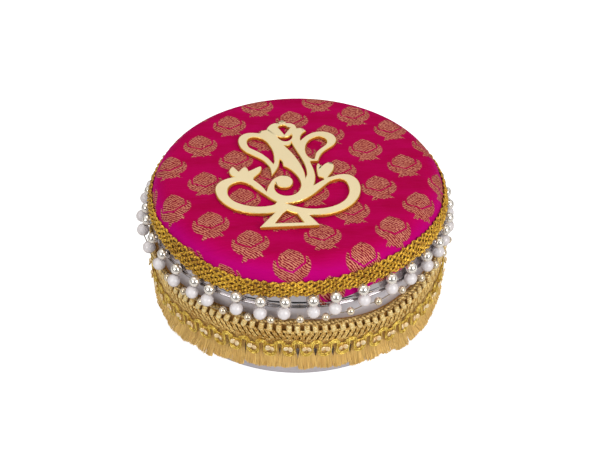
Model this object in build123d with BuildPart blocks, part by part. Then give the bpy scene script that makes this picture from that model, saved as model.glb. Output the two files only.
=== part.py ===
from build123d import *
from math import atan2, cos, degrees, hypot, pi, radians, sin, sqrt, tan
import os

# A round steel sweet box with a slip-on lid. The lid is padded, covered in brocade and edged with
# braid and bead drops, and the box is wrapped in a fringed trim. Millimetres, +Z up, with the
# origin at the centre of the base.

# Driving dimensions of the steel box
cup_radius = 72.5
cup_height = 58.5
cup_steel = 0.6
cup_corner_radius = 4.0
base_recess_radius = 60.0
base_recess_depth = 0.8
rim_roll_radius = 0.9

# Driving dimensions of the steel lid
lid_gap = 0.4
lid_steel = 0.5
lid_corner_radius = 5.0
lid_seat_rise = 0.6
lid_skirt_depth = 15.5
hem_roll_radius = 0.55
swage_width = 2.6
swage_depth = 0.35
swage_gap = 0.2

# Driving dimensions of the padded top
touch_gap = 0.05
pad_thickness = 8.3
cloth_thickness = 0.3
shoulder_radius = 9.6
shoulder_angle = 72.0
shoulder_lean = 1.9
cloth_overlap = 1.0
cloth_tongue_drop = 5.0
cloth_tongue_start = -85.0
cloth_tongue_angle = 55.0

# Driving dimensions of the braid round the lid
braid_width = 7.0
braid_thickness = 2.2
braid_edge_radius = 0.9

# Driving dimensions of the bead drops
drop_count = 40
silver_radius = 2.7
pearl_radius = 3.1
small_silver_radius = 1.9
silver_gap = 0.4
pearl_standoff = 0.65
small_silver_drop = 3.5
thread_radius = 0.3
stem_thread_radius = 0.25
bore_radius = 0.45

# Driving dimensions of the fringed trim on the box
trim_top = 40.3
tape_thickness = 1.0
header_cord_radius = 1.3
barrel_count = 112
barrel_radius = 1.35
barrel_length = 4.5
barrel_edge_radius = 0.5
woven_width = 6.4
woven_thickness = 1.9
woven_edge_radius = 0.5
scallop_count = 56
scallop_cord_radius = 0.7
scallop_bend_radius = 2.5
scallop_rise = 3.6
scallop_overlap = 1.5
sequin_radius = 1.2
sequin_thickness = 0.6
sequin_edge_radius = 0.2
fringe_bottom = 9.4
fringe_flare = 1.3
fringe_flare_height = 9.0
fringe_tip_thickness = 1.0
fringe_notch_depth = 1.2
fringe_notch_width = 4.0
window_width = 2.3
window_height = 6.5

# Driving dimensions of the flat figure on the lid
figure_width = 70.0
figure_thickness = 1.8
figure_grid = 70

# The figure's outline and openings, in squares of a grid 70 across its width, from the lid's centre.
# Each run is one smooth curve or one straight line, and runs meet in corners.
figure_outline_shares = [
    # The crown and the top of the head
    [(-16.2, 32.2), (-15.9, 34.2), (-14.9, 36.2), (-13.2, 37.9), (-11.6, 38.5), (-10.2, 38.3)],
    [(-10.2, 38.3), (-9.9, 40.2), (-8.8, 41.2), (-7.2, 40.6), (-6.2, 38.7)],
    [(-6.2, 38.7), (-4.2, 38.5), (-2.3, 37.6), (-1.1, 36.0), (-0.5, 33.8)],
    [(-0.5, 33.8), (1.2, 34.0), (3.0, 33.0), (4.4, 31.2)],
    [(4.4, 31.2), (2.7, 29.3), (1.8, 27.2), (1.4, 25.0), (1.5, 22.8)],
    # The right ear
    [(1.5, 22.8), (3.0, 25.2), (5.2, 27.8), (7.6, 29.6), (10.4, 30.6), (13.2, 30.7), (16.2, 29.7),
     (18.5, 27.7), (19.7, 25.0), (19.9, 22.3), (18.9, 19.5), (16.8, 16.8), (14.6, 14.6),
     (12.7, 12.0), (11.5, 9.4), (10.8, 7.0), (10.4, 4.8)],
    [(10.4, 4.8), (6.2, 4.6)],
    # The right side of the trunk, and the leaf
    [(6.2, 4.6), (7.1, 1.0), (7.9, -2.0), (8.4, -5.0), (8.7, -8.0), (8.6, -11.2), (8.0, -15.0)],
    [(8.0, -15.0), (9.6, -13.5), (11.2, -12.0), (12.7, -10.8)],
    [(12.7, -10.8), (12.4, -9.2)],
    [(12.4, -9.2), (10.2, -8.5)],
    [(10.2, -8.5), (9.6, -6.5), (9.3, -3.5), (9.2, -0.8), (9.4, 1.2), (10.1, 2.6), (10.9, 2.0),
     (11.7, 0.1)],
    [(11.7, 0.1), (12.8, 1.5), (14.3, 3.0), (16.0, 3.6), (17.4, 2.7), (18.1, 0.6), (17.9, -1.8),
     (17.0, -4.4), (15.9, -6.6), (14.9, -8.9)],
    # The right loop
    [(14.9, -8.9), (17.0, -8.0), (19.4, -6.9), (22.0, -6.3), (24.6, -6.5), (26.8, -7.7),
     (28.6, -9.8), (29.8, -12.6), (30.4, -15.8), (30.4, -19.2), (29.8, -22.6), (28.4, -26.2),
     (26.4, -29.5), (23.8, -32.3), (20.4, -34.9), (16.4, -36.9), (12.0, -38.0), (8.4, -38.3),
     (5.2, -37.9)],
    # The foot
    [(5.2, -37.9), (10.2, -45.6)],
    [(10.2, -45.6), (-17.3, -47.4)],
    [(-17.3, -47.4), (-10.4, -36.4)],
    # The left loop
    [(-10.4, -36.4), (-14.2, -37.1), (-18.4, -37.3), (-22.4, -36.9), (-26.2, -35.8),
     (-29.8, -34.0), (-33.0, -31.6), (-35.8, -28.6), (-38.0, -25.2), (-39.3, -21.6),
     (-39.8, -18.2), (-39.2, -15.0), (-37.7, -12.6), (-35.4, -10.6), (-32.9, -9.4), (-30.9, -8.8)],
    # The three petals
    [(-30.9, -8.8), (-32.7, -7.4), (-33.8, -5.0), (-33.6, -2.4), (-32.3, -0.5), (-30.6, -2.0),
     (-29.0, -4.2)],
    [(-29.0, -4.2), (-28.1, -2.4), (-27.2, -1.1), (-26.0, -0.5), (-25.0, -1.4), (-24.2, -3.8)],
    [(-24.2, -3.8), (-22.4, -2.6), (-20.4, -0.9), (-18.2, 0.2)],
    [(-18.2, 0.2), (-17.8, -2.2), (-18.4, -4.8), (-19.6, -6.8), (-21.2, -9.0)],
    [(-21.2, -9.0), (-21.4, -11.0)],
    [(-21.4, -11.0), (-19.4, -13.2), (-17.4, -15.8), (-15.9, -18.2), (-15.0, -20.0)],
    # The curl of the trunk, outside and inside
    [(-15.0, -20.0), (-14.5, -17.0), (-13.7, -14.2), (-12.6, -11.6), (-11.1, -9.5), (-9.2, -8.0),
     (-7.0, -7.3), (-4.9, -7.9), (-3.2, -9.5), (-2.3, -11.8), (-2.4, -14.2), (-3.7, -16.3),
     (-6.0, -17.4), (-8.3, -17.0), (-9.9, -15.7), (-10.7, -13.8)],
    [(-10.7, -13.8), (-11.1, -16.2), (-10.8, -19.0), (-9.6, -21.4), (-7.6, -23.0), (-5.0, -23.6),
     (-2.4, -23.0), (-0.4, -21.3), (0.9, -18.8), (1.5, -15.8), (1.2, -12.2), (0.2, -9.0),
     (-1.4, -5.8), (-3.4, -2.9), (-5.6, -0.7), (-7.3, 0.4)],
    [(-7.3, 0.4), (-7.5, 2.6), (-8.0, 4.4), (-8.8, 5.8)],
    [(-8.8, 5.8), (-9.2, 3.2), (-9.3, 0.8), (-10.0, -1.8), (-11.1, -4.6), (-12.7, -7.8)],
    # The left ear
    [(-12.7, -7.8), (-13.2, -4.2), (-14.0, -0.8), (-15.4, 2.0), (-17.2, 4.8), (-19.8, 7.2),
     (-22.8, 9.4), (-25.8, 11.8), (-28.2, 14.6), (-29.8, 17.8), (-30.6, 21.2), (-30.5, 24.4),
     (-29.3, 27.0), (-27.2, 28.8), (-24.4, 29.5), (-22.0, 29.4), (-20.0, 29.0)],
    [(-20.0, 29.0), (-19.6, 30.5), (-18.1, 31.6), (-16.2, 32.2)],
]
figure_opening_shares = [
    # The left ear's opening
    [[(-12.1, 2.3), (-12.8, 3.6), (-14.0, 5.8), (-15.8, 8.2), (-17.8, 10.6), (-20.2, 12.8),
      (-22.6, 14.6), (-24.6, 16.4), (-25.6, 18.8), (-25.9, 21.4), (-25.4, 23.8), (-23.8, 25.2),
      (-21.6, 25.3), (-19.4, 24.4), (-17.4, 22.8), (-15.7, 20.4), (-14.3, 17.6), (-13.2, 14.4),
      (-12.4, 11.0), (-12.0, 7.2), (-11.8, 4.2), (-12.1, 2.3)]],
    # The right ear's opening
    [[(8.2, 6.3), (8.6, 8.2), (8.9, 10.4), (9.8, 12.8), (11.2, 15.0), (13.0, 17.2), (14.4, 19.2),
      (14.9, 21.2), (14.4, 23.6), (12.8, 25.4), (10.8, 26.1), (8.6, 25.3), (6.8, 23.8),
      (5.2, 21.4), (4.3, 18.6), (3.9, 15.6), (4.1, 12.4), (4.7, 9.8), (6.0, 7.6), (8.2, 6.3)]],
    # The openings of the crown and the brow
    [[(-10.2, 34.2), (-9.2, 36.1), (-7.8, 36.7), (-6.4, 36.0), (-5.4, 34.8), (-3.9, 34.2)],
     [(-3.9, 34.2), (-5.2, 31.4), (-6.9, 27.8)],
     [(-6.9, 27.8), (-8.4, 31.0), (-10.2, 34.2)]],
    [[(-10.7, 26.4), (-8.8, 25.6), (-6.8, 25.4), (-4.8, 26.1), (-3.2, 28.1)],
     [(-3.2, 28.1), (-2.9, 26.0), (-3.5, 23.8), (-4.8, 22.3), (-6.3, 21.8), (-7.9, 22.3),
      (-9.5, 24.0), (-10.7, 26.4)]],
    # The slit down the trunk
    [[(-3.2, 20.6), (-3.8, 18.9), (-6.8, 17.9)],
     [(-6.8, 17.9), (-5.2, 15.4), (-3.2, 12.2), (-1.5, 9.2), (-0.2, 6.2), (1.1, 3.0), (2.2, -0.2),
      (3.1, -3.4), (3.6, -6.2), (3.9, -8.9)],
     [(3.9, -8.9), (4.4, -6.2), (4.2, -3.2), (3.7, 0.0), (2.9, 3.3), (1.9, 6.4), (0.8, 9.5),
      (-0.4, 12.6), (-1.6, 15.7), (-2.5, 18.4), (-3.2, 20.6)]],
    # The left loop's opening
    [[(-9.9, -28.6), (-10.9, -30.2), (-13.0, -31.2), (-16.0, -31.8), (-19.2, -31.9),
      (-22.6, -31.4), (-25.8, -30.3), (-28.8, -28.7), (-31.3, -26.4), (-32.9, -23.7),
      (-33.6, -20.8), (-33.4, -17.8), (-32.2, -15.1), (-30.2, -13.3), (-27.8, -12.7),
      (-25.4, -13.5), (-23.0, -15.3), (-20.2, -18.3), (-17.2, -21.5), (-14.2, -24.5),
      (-11.6, -27.0), (-9.9, -28.6)]],
    # The right loop's opening
    [[(-5.4, -29.4), (-2.6, -29.0), (0.4, -28.0), (3.2, -26.4), (5.8, -24.3), (8.2, -21.8),
      (10.2, -19.2), (12.2, -16.6), (14.4, -13.8), (16.6, -11.6), (19.0, -10.5), (21.4, -10.5),
      (23.2, -12.0), (24.2, -14.8), (24.7, -18.2), (24.4, -22.0), (23.2, -25.4), (21.2, -28.2),
      (18.4, -30.5), (15.2, -32.1), (11.6, -33.1), (7.8, -33.4), (4.0, -33.1), (0.4, -32.1),
      (-2.8, -30.8), (-5.4, -29.4)]],
    # The foot's opening
    [[(-5.0, -34.7), (-2.6, -36.2), (-0.4, -37.0)],
     [(-0.4, -37.0), (2.9, -43.8)],
     [(2.9, -43.8), (-10.6, -44.4)],
     [(-10.6, -44.4), (-7.0, -37.0)],
     [(-7.0, -37.0), (-5.0, -34.7)]],
]

# Sizes worked out from the driving dimensions
rim_centre_radius = cup_radius - rim_roll_radius
rim_centre_height = cup_height - rim_roll_radius
lid_inner_radius = cup_radius + lid_gap
lid_outer_radius = lid_inner_radius + lid_steel
lid_top = rim_centre_height - lid_seat_rise + lid_corner_radius
lid_hem = lid_top - lid_skirt_depth
swage_bottom = lid_hem + 2 * hem_roll_radius + swage_gap
swage_top = swage_bottom + swage_width
cloth_radius = lid_outer_radius + touch_gap + cloth_thickness
cloth_top = lid_top + pad_thickness + cloth_thickness
shoulder_end_radius = cloth_radius - shoulder_lean
flat_radius = shoulder_end_radius - shoulder_radius * sin(radians(shoulder_angle))
shoulder_end_height = cloth_top - shoulder_radius * (1 - cos(radians(shoulder_angle)))
lean_end_height = shoulder_end_height - shoulder_lean * tan(radians(shoulder_angle))
braid_top = lid_top
braid_bottom = braid_top - braid_width
cloth_hem = braid_bottom + cloth_overlap
silver_ring_radius = cloth_radius + touch_gap + silver_radius
silver_height = braid_bottom - silver_gap - silver_radius
pearl_ring_radius = silver_ring_radius + pearl_standoff
silver_to_pearl = silver_radius + pearl_radius + touch_gap
pearl_height = silver_height - sqrt(silver_to_pearl**2 - pearl_standoff**2)
hang_angle = degrees(atan2(pearl_standoff, silver_height - pearl_height))
small_silver_height = pearl_height - small_silver_drop
thread_ring_radius = pearl_ring_radius + small_silver_drop * tan(radians(hang_angle))
stem_length = (braid_bottom - small_silver_height) / cos(radians(hang_angle)) - touch_gap
tape_inner_radius = cup_radius + touch_gap
tape_outer_radius = tape_inner_radius + tape_thickness
trim_inner_radius = tape_outer_radius + touch_gap
header_cord_height = trim_top - header_cord_radius
barrel_top = header_cord_height - header_cord_radius - touch_gap
barrel_bottom = barrel_top - barrel_length
woven_top = barrel_bottom - touch_gap
woven_bottom = woven_top - woven_width
woven_outer_radius = trim_inner_radius + woven_thickness
fringe_top = woven_bottom - touch_gap
half_pitch = 180 / scallop_count
scallop_radius = woven_outer_radius + touch_gap + scallop_cord_radius
scallop_end_radius = hypot(scallop_radius, scallop_bend_radius)
scallop_arch_angle = radians(half_pitch) - atan2(scallop_bend_radius, scallop_radius)
scallop_arch_radius = scallop_end_radius * sin(scallop_arch_angle)
scallop_arch_distance = scallop_end_radius * cos(scallop_arch_angle)
scallop_arch_height = woven_bottom + scallop_overlap - scallop_cord_radius - scallop_arch_radius
scallop_bend_height = scallop_arch_height - scallop_rise
scallop_bottom = scallop_bend_height - scallop_bend_radius - scallop_cord_radius
sequin_offset = sequin_radius + touch_gap / 2
sequin_distance = scallop_radius + scallop_cord_radius + touch_gap + sequin_thickness / 2
tape_bottom = scallop_bottom + scallop_cord_radius
fringe_outer_radius = woven_outer_radius + fringe_flare
flare_top = fringe_bottom + fringe_flare_height
tuft_angle = 2 * half_pitch - degrees(touch_gap / trim_inner_radius)
window_top = tape_bottom
figure_square = figure_width / figure_grid

os.makedirs("parts", exist_ok=True)


def padded_section(inset, bottom):
    """Half section of the padded top down to bottom, inset from the outside of its cloth."""
    angle = radians(shoulder_angle)
    arc_radius = shoulder_radius - inset
    centre = (flat_radius, cloth_top - shoulder_radius)
    arc_end = (centre[0] + arc_radius * sin(angle), centre[1] + arc_radius * cos(angle))
    wall_radius = cloth_radius - inset
    lean_end = lean_end_height - inset * tan((pi / 2 - angle) / 2)
    with BuildSketch(Plane.XZ) as section:
        with BuildLine():
            Line((0, bottom), (0, cloth_top - inset))
            Line((0, cloth_top - inset), (flat_radius, cloth_top - inset))
            CenterArc(centre, arc_radius, 90, -shoulder_angle)
            Line(arc_end, (wall_radius, lean_end))
            Line((wall_radius, lean_end), (wall_radius, bottom))
            Line((wall_radius, bottom), (0, bottom))
        make_face()
    return section.sketch


def drilled_ball(radius):
    """A ball with its thread hole along Z."""
    with BuildPart() as ball:
        Sphere(radius)
        Cylinder(bore_radius, 2 * radius, mode=Mode.SUBTRACT)
    return ball.part


def figure_lines(runs):
    for run in runs:
        points = [(across * figure_square, along * figure_square) for across, along in run]
        if len(points) == 2:
            Line(*points)
        else:
            Spline(*points)


# Steel cup, with a stepped base and a rolled rim
with BuildPart() as steel_cup:
    with BuildSketch():
        Circle(cup_radius)
    extrude(amount=rim_centre_height)
    fillet(steel_cup.edges().sort_by(Axis.Z)[0], cup_corner_radius)
    with BuildSketch():
        Circle(base_recess_radius)
    extrude(amount=base_recess_depth, mode=Mode.SUBTRACT)
    offset(amount=-cup_steel, openings=steel_cup.faces().sort_by(Axis.Z)[-1])
    with BuildSketch(Plane.XZ):
        with Locations((rim_centre_radius, rim_centre_height)):
            Circle(rim_roll_radius)
    revolve(axis=Axis.Z)
steel_cup.part.label = "steel_cup"
export_step(steel_cup.part, "parts/steel_cup.step")

# Steel lid, whose rounded inside corner comes down on the cup's rim, with a swage and a rolled hem
with BuildPart() as steel_lid:
    with BuildSketch(Plane.XY.offset(lid_hem)):
        Circle(lid_outer_radius)
    extrude(amount=lid_skirt_depth)
    fillet(steel_lid.edges().sort_by(Axis.Z)[-1], lid_corner_radius)
    offset(amount=-lid_steel, openings=steel_lid.faces().sort_by(Axis.Z)[0])
    with BuildSketch(Plane.XZ):
        with Locations((lid_inner_radius + hem_roll_radius, lid_hem + hem_roll_radius)):
            Circle(hem_roll_radius)
    revolve(axis=Axis.Z)
    with BuildSketch(Plane.XZ):
        with BuildLine():
            ThreePointArc(
                (lid_outer_radius, swage_bottom),
                (lid_outer_radius + swage_depth, (swage_bottom + swage_top) / 2),
                (lid_outer_radius, swage_top),
            )
            Polyline(
                (lid_outer_radius, swage_top),
                (lid_outer_radius - lid_steel / 2, swage_top),
                (lid_outer_radius - lid_steel / 2, swage_bottom),
                (lid_outer_radius, swage_bottom),
            )
        make_face()
    revolve(axis=Axis.Z)
steel_lid.part.label = "steel_lid"
export_step(steel_lid.part, "parts/steel_lid.step")

# Foam pad, flat on the lid and rounded at the shoulder
with BuildPart() as foam_pad:
    add(padded_section(cloth_thickness, lid_hem))
    revolve(axis=Axis.Z)
    split(bisect_by=Plane.XY.offset(lid_top), keep=Keep.TOP)
foam_pad.part.label = "foam_pad"
export_step(foam_pad.part, "parts/foam_pad.step")

# Brocade drawn over the pad and glued down the lid's skirt, with one tongue of cloth left longer
with BuildPart() as brocade_cover:
    add(padded_section(0, cloth_hem))
    revolve(axis=Axis.Z)
    add(padded_section(cloth_thickness, cloth_hem))
    revolve(axis=Axis.Z, mode=Mode.SUBTRACT)
    with BuildSketch(Plane.XZ.rotated((0, 0, cloth_tongue_start))):
        with Locations((cloth_radius, cloth_hem)):
            Rectangle(cloth_thickness, cloth_tongue_drop, align=(Align.MAX, Align.MAX))
    revolve(axis=Axis.Z, revolution_arc=cloth_tongue_angle)
brocade_cover.part.label = "brocade_cover"
export_step(brocade_cover.part, "parts/brocade_cover.step")

# Chain braid round the shoulder of the lid
with BuildPart() as edge_braid:
    add(padded_section(-touch_gap - braid_thickness, braid_bottom))
    revolve(axis=Axis.Z)
    add(padded_section(-touch_gap, braid_bottom))
    revolve(axis=Axis.Z, mode=Mode.SUBTRACT)
    split(bisect_by=Plane.XY.offset(braid_top), keep=Keep.BOTTOM)
    fillet(edge_braid.edges().group_by(SortBy.LENGTH)[-1], braid_edge_radius)
edge_braid.part.label = "edge_braid"
export_step(edge_braid.part, "parts/edge_braid.step")

# Silver balls that hang under the braid, the pearls under them, and the small balls between pearls
silver_ball = drilled_ball(silver_radius)
with BuildPart() as silver_beads:
    with PolarLocations(0, drop_count, start_angle=180 / drop_count):
        with Locations(Location((silver_ring_radius, 0, silver_height), (0, -hang_angle, 0))):
            add(silver_ball)
silver_beads.part.label = "silver_beads"
export_step(silver_beads.part, "parts/silver_beads.step")

pearl_ball = drilled_ball(pearl_radius)
with BuildPart() as pearl_beads:
    with PolarLocations(0, drop_count, start_angle=180 / drop_count):
        with Locations(Location((pearl_ring_radius, 0, pearl_height), (0, -hang_angle, 0))):
            add(pearl_ball)
pearl_beads.part.label = "pearl_beads"
export_step(pearl_beads.part, "parts/pearl_beads.step")

small_silver_ball = drilled_ball(small_silver_radius)
with BuildPart() as small_silver_beads:
    with PolarLocations(0, drop_count):
        with Locations(Location((thread_ring_radius, 0, small_silver_height), (90, 0, 0))):
            add(small_silver_ball)
small_silver_beads.part.label = "small_silver_beads"
export_step(small_silver_beads.part, "parts/small_silver_beads.step")

# Thread that hangs from the braid through each ball and pearl, and runs on through the small balls
with BuildPart() as bead_thread:
    with BuildSketch(Plane.XZ):
        with Locations((thread_ring_radius, small_silver_height)):
            Circle(thread_radius)
    revolve(axis=Axis.Z)
    with PolarLocations(0, drop_count, start_angle=180 / drop_count):
        with Locations(Location((thread_ring_radius, 0, small_silver_height), (0, -hang_angle, 0))):
            with Locations((0, 0, -stem_thread_radius)):
                Cylinder(
                    stem_thread_radius,
                    stem_length + stem_thread_radius,
                    align=(Align.CENTER, Align.CENTER, Align.MIN),
                )
bead_thread.part.label = "bead_thread"
export_step(bead_thread.part, "parts/bead_thread.step")

# Flat cut-out figure of an elephant head in flowing lines, on the middle of the cloth
with BuildPart() as elephant_figure:
    with BuildSketch(Plane.XY.offset(cloth_top)):
        with BuildLine():
            figure_lines(figure_outline_shares)
        make_face()
        for opening in figure_opening_shares:
            with BuildLine():
                figure_lines(opening)
            make_face(mode=Mode.SUBTRACT)
    extrude(amount=figure_thickness)
elephant_figure.part.label = "elephant_figure"
export_step(elephant_figure.part, "parts/elephant_figure.step")

# Backing tape of the trim, glued round the cup
with BuildPart() as trim_tape:
    with BuildSketch(Plane.XY.offset(tape_bottom)):
        Circle(tape_outer_radius)
        Circle(tape_inner_radius, mode=Mode.SUBTRACT)
    extrude(amount=header_cord_height - tape_bottom)
trim_tape.part.label = "trim_tape"
export_step(trim_tape.part, "parts/trim_tape.step")

# Twisted cord along the top of the trim
with BuildPart() as header_cord:
    with BuildSketch(Plane.XZ):
        with Locations((trim_inner_radius + header_cord_radius, header_cord_height)):
            Circle(header_cord_radius)
    revolve(axis=Axis.Z)
header_cord.part.label = "header_cord"
export_step(header_cord.part, "parts/header_cord.step")

# Row of upright barrels wound with thread
with BuildPart() as barrel:
    Cylinder(barrel_radius, barrel_length, align=(Align.CENTER, Align.CENTER, Align.MIN))
    fillet(barrel.edges().filter_by(GeomType.CIRCLE), barrel_edge_radius)
with BuildPart() as barrel_row:
    with PolarLocations(0, barrel_count):
        with Locations((trim_inner_radius + barrel_radius, 0, barrel_bottom)):
            add(barrel.part)
barrel_row.part.label = "barrel_row"
export_step(barrel_row.part, "parts/barrel_row.step")

# Woven zigzag braid
with BuildPart() as woven_braid:
    with BuildSketch(Plane.XY.offset(woven_bottom)):
        Circle(woven_outer_radius)
        Circle(trim_inner_radius, mode=Mode.SUBTRACT)
    extrude(amount=woven_width)
    fillet(woven_braid.edges().group_by(SortBy.LENGTH)[-1], woven_edge_radius)
woven_braid.part.label = "woven_braid"
export_step(woven_braid.part, "parts/woven_braid.step")

# Cord laid in scallops: each a bend below with two upright runs, and a narrower arch above
with BuildPart() as scallop_bend:
    with BuildSketch(Plane.XY.offset(scallop_bend_height)):
        with Locations((scallop_radius, scallop_bend_radius)):
            Circle(scallop_cord_radius)
    revolve(axis=Axis((scallop_radius, 0, scallop_bend_height), (-1, 0, 0)), revolution_arc=180)
    with BuildSketch(Plane.XY.offset(scallop_bend_height)):
        with Locations((scallop_radius, -scallop_bend_radius), (scallop_radius, scallop_bend_radius)):
            Circle(scallop_cord_radius)
    extrude(amount=scallop_rise)
with BuildPart() as scallop_arch:
    with BuildSketch(Plane.XY.offset(scallop_arch_height)):
        with Locations((scallop_arch_distance, -scallop_arch_radius)):
            Circle(scallop_cord_radius)
    revolve(axis=Axis((scallop_arch_distance, 0, scallop_arch_height), (-1, 0, 0)), revolution_arc=180)
with BuildPart() as scallop_cord:
    with PolarLocations(0, scallop_count, start_angle=half_pitch):
        add(scallop_bend.part)
    with PolarLocations(0, scallop_count):
        add(scallop_arch.part)
scallop_cord.part.label = "scallop_cord"
export_step(scallop_cord.part, "parts/scallop_cord.step")

# Pairs of sequins, side by side on each bend of the scalloped cord
with BuildPart() as sequin:
    Cylinder(sequin_radius, sequin_thickness)
    fillet(sequin.edges().filter_by(GeomType.CIRCLE), sequin_edge_radius)
with BuildPart() as sequins:
    with PolarLocations(0, scallop_count, start_angle=half_pitch):
        for side in (-1, 1):
            with Locations(Location((sequin_distance, side * sequin_offset, scallop_bend_height), (0, 90, 0))):
                add(sequin.part)
sequins.part.label = "sequins"
export_step(sequins.part, "parts/sequins.step")

# Fringe that hangs from the trim in tufts, parted by a pointed gap above and a notch below
with BuildPart() as fringe_gap:
    with BuildSketch(Plane.YZ):
        with BuildLine():
            Polyline(
                (-window_width / 2, window_top),
                (window_width / 2, window_top),
                (0, window_top - window_height),
                close=True,
            )
        make_face()
        with BuildLine():
            Polyline(
                (-fringe_notch_width / 2, fringe_bottom),
                (fringe_notch_width / 2, fringe_bottom),
                (0, fringe_bottom + fringe_notch_depth),
                close=True,
            )
        make_face()
    extrude(amount=fringe_outer_radius)
with BuildPart() as fringe_tuft:
    with BuildSketch(Plane.XZ.rotated((0, 0, -tuft_angle / 2))):
        with BuildLine():
            Polyline(
                (trim_inner_radius, fringe_top),
                (trim_inner_radius, flare_top),
                (fringe_outer_radius - fringe_tip_thickness, fringe_bottom),
                (fringe_outer_radius, fringe_bottom),
                (woven_outer_radius, flare_top),
                (woven_outer_radius, fringe_top),
                close=True,
            )
        make_face()
    revolve(axis=Axis.Z, revolution_arc=tuft_angle)
    with PolarLocations(0, 2, start_angle=-half_pitch, angular_range=2 * half_pitch, endpoint=True):
        add(fringe_gap.part, mode=Mode.SUBTRACT)
with BuildPart() as fringe_tufts:
    with PolarLocations(0, scallop_count, start_angle=half_pitch):
        add(fringe_tuft.part)
fringe_tufts.part.label = "fringe_tufts"
export_step(fringe_tufts.part, "parts/fringe_tufts.step")
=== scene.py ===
from math import asin, atan2, cos, degrees, exp, hypot, pi, radians, sin, sqrt, tan
from random import Random

import bmesh
import bpy
from mathutils import Matrix, Vector


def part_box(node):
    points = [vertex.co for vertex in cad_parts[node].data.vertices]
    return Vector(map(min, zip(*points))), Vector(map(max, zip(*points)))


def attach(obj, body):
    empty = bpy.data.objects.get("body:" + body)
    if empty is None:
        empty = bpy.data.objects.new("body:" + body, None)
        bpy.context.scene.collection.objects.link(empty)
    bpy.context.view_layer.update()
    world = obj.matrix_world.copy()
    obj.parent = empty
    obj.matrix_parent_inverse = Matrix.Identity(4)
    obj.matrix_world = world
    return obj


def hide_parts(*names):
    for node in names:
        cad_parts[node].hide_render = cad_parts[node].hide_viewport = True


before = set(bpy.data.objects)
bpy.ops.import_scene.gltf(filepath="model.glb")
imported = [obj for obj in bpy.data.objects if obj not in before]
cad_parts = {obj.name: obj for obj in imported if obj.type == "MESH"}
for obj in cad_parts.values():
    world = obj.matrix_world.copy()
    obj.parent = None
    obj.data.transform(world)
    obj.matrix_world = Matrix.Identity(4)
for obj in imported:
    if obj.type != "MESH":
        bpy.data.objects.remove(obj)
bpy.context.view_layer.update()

# A round steel sweet box with a padded brocade lid, bead drops and a fringed gold trim.
# Metres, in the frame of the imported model: +Z up, the front towards -Y.

mm = 0.001
front = radians(-90)
full_turn = 2 * pi

boxes = {node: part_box(node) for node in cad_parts}


def outer_radius(node):
    """A node's radius, from the box round it."""
    return boxes[node][1].x


def top_of(node):
    """The height of a node's top."""
    return boxes[node][1].z


def bottom_of(node):
    """The height of a node's underside."""
    return boxes[node][0].z


# Sizes read from the frame
cup_radius = outer_radius("steel_cup")
cup_height = top_of("steel_cup")
lid_radius = outer_radius("steel_lid")
lid_top = top_of("steel_lid")
lid_hem = bottom_of("steel_lid")
pad_top = top_of("foam_pad")
cloth_radius = outer_radius("brocade_cover")
cloth_top = top_of("brocade_cover")
cloth_bottom = bottom_of("brocade_cover")
braid_top = top_of("edge_braid")
braid_bottom = bottom_of("edge_braid")
tape_radius = outer_radius("trim_tape")
tape_top = top_of("trim_tape")
tape_bottom = bottom_of("trim_tape")
header_radius = outer_radius("header_cord")
header_top = top_of("header_cord")
barrel_radius = outer_radius("barrel_row")
barrel_top = top_of("barrel_row")
barrel_bottom = bottom_of("barrel_row")
woven_radius = outer_radius("woven_braid")
woven_top = top_of("woven_braid")
woven_bottom = bottom_of("woven_braid")
scallop_radius = outer_radius("scallop_cord")
scallop_top = top_of("scallop_cord")
scallop_bottom = bottom_of("scallop_cord")
fringe_top = top_of("fringe_tufts")
fringe_bottom = bottom_of("fringe_tufts")
fringe_radius = outer_radius("fringe_tufts")
silver_ring_radius = outer_radius("silver_beads")
silver_height = (top_of("silver_beads") + bottom_of("silver_beads")) / 2
small_height = (top_of("small_silver_beads") + bottom_of("small_silver_beads")) / 2
sequin_ring_radius = outer_radius("sequins")
sequin_height = (top_of("sequins") + bottom_of("sequins")) / 2

# The padded top's shoulder
shoulder_radius = 9.6 * mm
shoulder_angle = radians(72)
shoulder_lean = 1.9 * mm
cloth_thickness = 0.3 * mm
shoulder_end_radius = cloth_radius - shoulder_lean
flat_radius = shoulder_end_radius - shoulder_radius * sin(shoulder_angle)
shoulder_centre_height = cloth_top - shoulder_radius
shoulder_end_height = shoulder_centre_height + shoulder_radius * cos(shoulder_angle)
lean_end_height = shoulder_end_height - shoulder_lean * tan(shoulder_angle)

# The trims aren't level. Each hump is its place and width in degrees from the front, and its height.
braid_top_humps = [(42, 26, 3.0 * mm), (-18, 14, -0.9 * mm), (-50, 14, 1.6 * mm)]
braid_bottom_humps = [(35, 28, 1.5 * mm), (-28, 20, -3.3 * mm)]
drop_humps = [(30, 30, 3.3 * mm), (-42, 26, -1.9 * mm)]
header_humps = [(30, 20, -3.8 * mm), (-60, 20, -3.2 * mm)]
barrel_humps = [(35, 19, -4.2 * mm), (0, 12, -0.5 * mm), (-60, 22, -3.2 * mm)]
lower_trim_humps = [(1, 9, 0.9 * mm), (50, 28, -3.9 * mm), (-60, 27, -4.0 * mm)]

# How much further the fringe stands off the box at two places, given in the same way
flare_humps = [(-44, 16, 1.8 * mm), (46, 14, 1.5 * mm)]


def from_front(angle):
    """An angle round the box, in degrees from the front."""
    away = angle - front
    return degrees(atan2(sin(away), cos(away)))


def humps(angle, table):
    """The height that a trim stands above its level place."""
    away = from_front(angle)
    return sum(height * exp(-(((away - place) / width) ** 2)) for place, width, height in table)


def on_ring(angle, radius, height):
    """A point at an angle round the box, a radius and a height."""
    return Vector((radius * cos(angle), radius * sin(angle), height))


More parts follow.
